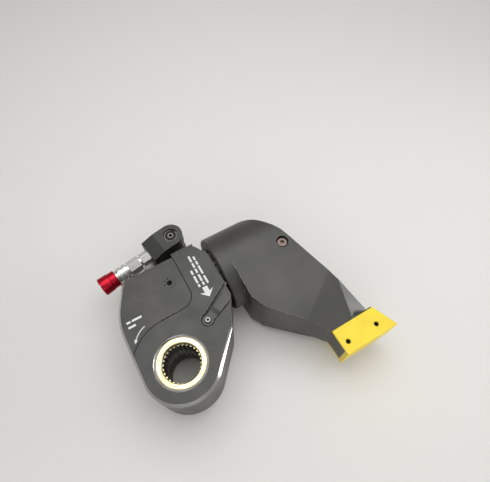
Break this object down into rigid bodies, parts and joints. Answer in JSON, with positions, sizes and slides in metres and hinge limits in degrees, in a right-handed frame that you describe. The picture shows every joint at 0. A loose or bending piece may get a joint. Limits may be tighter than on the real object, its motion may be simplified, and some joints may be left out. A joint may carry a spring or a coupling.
{
  "type": "hydraulic torque wrench",
  "caption": "Hydraulic torque wrench: a piston swings drive plates that turn a splined ratchet bore, with a boot-shaped reaction arm, a yellow shoe and a swivel for twin hose couplers",
  "frame": {"origin": "on the drive axis, halfway through the housing's thickness", "axes": "+Z along the drive axis to the face with the release lever, +X along the cylinder to the reaction arm, +Y from the drive axis to the cylinder"},
  "size_m": [0.3215, 0.2865, 0.112],
  "materials": {
    "body_coating": "satin black coating on alloy steel",
    "shroud_coating": "satin black coating",
    "arm_coating": "satin black coating, worn lighter",
    "shoe_paint": "semi-gloss yellow paint",
    "bronze": "turned bronze",
    "hard_steel": "hardened and ground",
    "ground_steel": "ground",
    "lever_steel": "formed, dull",
    "ring_steel": "spring ring, grey",
    "plated_steel": "bright nickel plate",
    "brass": "turned",
    "red_anodised": "red anodised",
    "black_oxide": "black oxide",
    "tinted_steel": "warm tinted steel",
    "spring_steel": "drawn wire",
    "seal_rubber": "matt black"
  },
  "bodies": {
    "housing": {"housing": "body_coating", "shroud": "shroud_coating", "shroud_screws": "black_oxide", "sleeve_circlips": "ring_steel", "rod_gland": "bronze", "rod_seal": "seal_rubber", "end_cap": "hard_steel", "end_cap_seal": "seal_rubber", "passage_plug": "ground_steel", "reaction_pawl_pin": "ground_steel", "reaction_pawl_spring": "spring_steel", "reaction_arm": "arm_coating", "arm_lock_screw": "tinted_steel", "reaction_shoe": "shoe_paint", "shoe_screws": "black_oxide", "swivel_dowels": "ground_steel"},
    "piston": {"piston": "hard_steel", "piston_seal": "seal_rubber", "piston_rod": "ground_steel", "rod_eye": "hard_steel", "rod_pin": "ground_steel"},
    "drive_arm": {"drive_plate_upper": "hard_steel", "drive_plate_lower": "hard_steel", "pawl_holder": "hard_steel", "holder_pins": "ground_steel", "drive_pawl_springs": "spring_steel"},
    "drive_pawl": {"drive_pawl": "hard_steel"},
    "ratchet": {"ratchet_wheel": "hard_steel", "drive_sleeve_upper": "bronze", "drive_sleeve_lower": "bronze"},
    "reaction_pawl": {"reaction_pawl": "hard_steel"},
    "release_lever": {"release_lever": "lever_steel", "release_shaft": "ground_steel", "release_screw": "black_oxide"},
    "swivel_base": {"swivel_base": "body_coating", "swivel_base_seals": "seal_rubber"},
    "swivel_block": {"swivel_block": "body_coating", "swivel_pin": "ground_steel", "swivel_pin_seals": "seal_rubber", "swivel_circlips": "ring_steel", "coupler_adapters": "plated_steel", "female_coupler": "plated_steel", "coupler_spring": "spring_steel", "coupler_snap_ring": "ring_steel", "male_coupler": "plated_steel"},
    "coupler_sleeve": {"coupler_sleeve": "red_anodised"},
    "coupler_valve": {"coupler_valve": "brass"}
  },
  "joints": [
    {"name": "piston_slide", "type": "slide", "parent": "housing", "child": "piston", "axis": [-1, 0, 0], "range_m": [0, 0.036]},
    {"name": "drive_swing", "type": "hinge", "parent": "housing", "child": "drive_arm", "pos_m": [0, 0, 0], "axis": [0, 0, 1], "range_deg": [0, 20.7]},
    {"name": "ratchet_turn", "type": "hinge", "parent": "housing", "child": "ratchet", "pos_m": [0, 0, 0], "axis": [0, 0, 1], "range_deg": [0, 20.7]},
    {"name": "drive_pawl_lift", "type": "slide", "parent": "drive_arm", "child": "drive_pawl", "axis": [0.2564, 0.9666, 0], "range_m": [0, 0.004], "stiffness_N_per_m": 3000, "springref_m": -0.004, "deforming": ["drive_pawl_springs"]},
    {"name": "release_lever_turn", "type": "hinge", "parent": "housing", "child": "release_lever", "pos_m": [0.052, 0.031, 0], "axis": [0, 0, 1], "range_deg": [0, 9], "stiffness_Nm_per_rad": 1, "springref_deg": -17.19},
    {"name": "reaction_pawl_lift", "type": "hinge", "parent": "housing", "child": "reaction_pawl", "pos_m": [0.053, 0.008, 0], "axis": [0, 0, -1], "range_deg": [0, 9], "deforming": ["reaction_pawl_spring"]},
    {"name": "swivel_turn", "type": "hinge", "parent": "housing", "child": "swivel_base", "pos_m": [0.064, 0.15, 0], "axis": [0, 1, 0], "range_deg": [-120, 120]},
    {"name": "block_turn", "type": "hinge", "parent": "swivel_base", "child": "swivel_block", "pos_m": [0.064, 0.177, 0], "axis": [0, 0, -1], "range_deg": [0, 190]},
    {"name": "sleeve_pull", "type": "slide", "parent": "swivel_block", "child": "coupler_sleeve", "axis": [0.9848, 0.1736, 0], "range_m": [0, 0.004], "stiffness_N_per_m": 2500, "springref_m": -0.004, "deforming": ["coupler_spring"]},
    {"name": "valve_push", "type": "slide", "parent": "swivel_block", "child": "coupler_valve", "axis": [0.9848, 0.1736, 0], "range_m": [0, 0.0035], "stiffness_N_per_m": 2000, "springref_m": -0.003}
  ],
  "couplings": [
    {"joint": "drive_swing", "follows": "piston_slide", "rad_per_m": 10.028},
    {"joint": "ratchet_turn", "follows": "piston_slide", "rad_per_m": 10.028},
    {"joint": "reaction_pawl_lift", "follows": "release_lever_turn", "ratio": 1}
  ]
}
